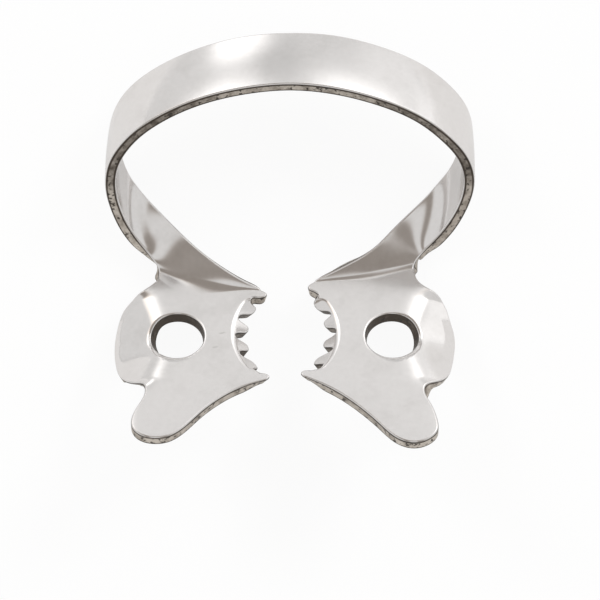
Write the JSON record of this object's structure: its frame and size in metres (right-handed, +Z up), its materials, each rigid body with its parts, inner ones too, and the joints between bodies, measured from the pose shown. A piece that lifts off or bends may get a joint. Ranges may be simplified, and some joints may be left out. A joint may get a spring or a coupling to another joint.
{
  "type": "rubber dam clamp",
  "caption": "Winged molar rubber dam clamp in polished stainless steel: toothed jaws with wings, feet and forceps holes, joined by a sprung bow.",
  "frame": {"origin": "middle of the clamp's footprint on the table it lies on", "axes": "+Z up; +Y from the feet of the jaws towards the bow; +X across the tooth, towards the right-hand jaw seen from above with the bow at the top"},
  "size_m": [0.0174, 0.0198, 0.0058],
  "materials": {
    "stainless_steel": "polished faces with plain cut rims"
  },
  "bodies": {
    "root": {"dam_clamp": "stainless_steel"}
  },
  "joints": []
}
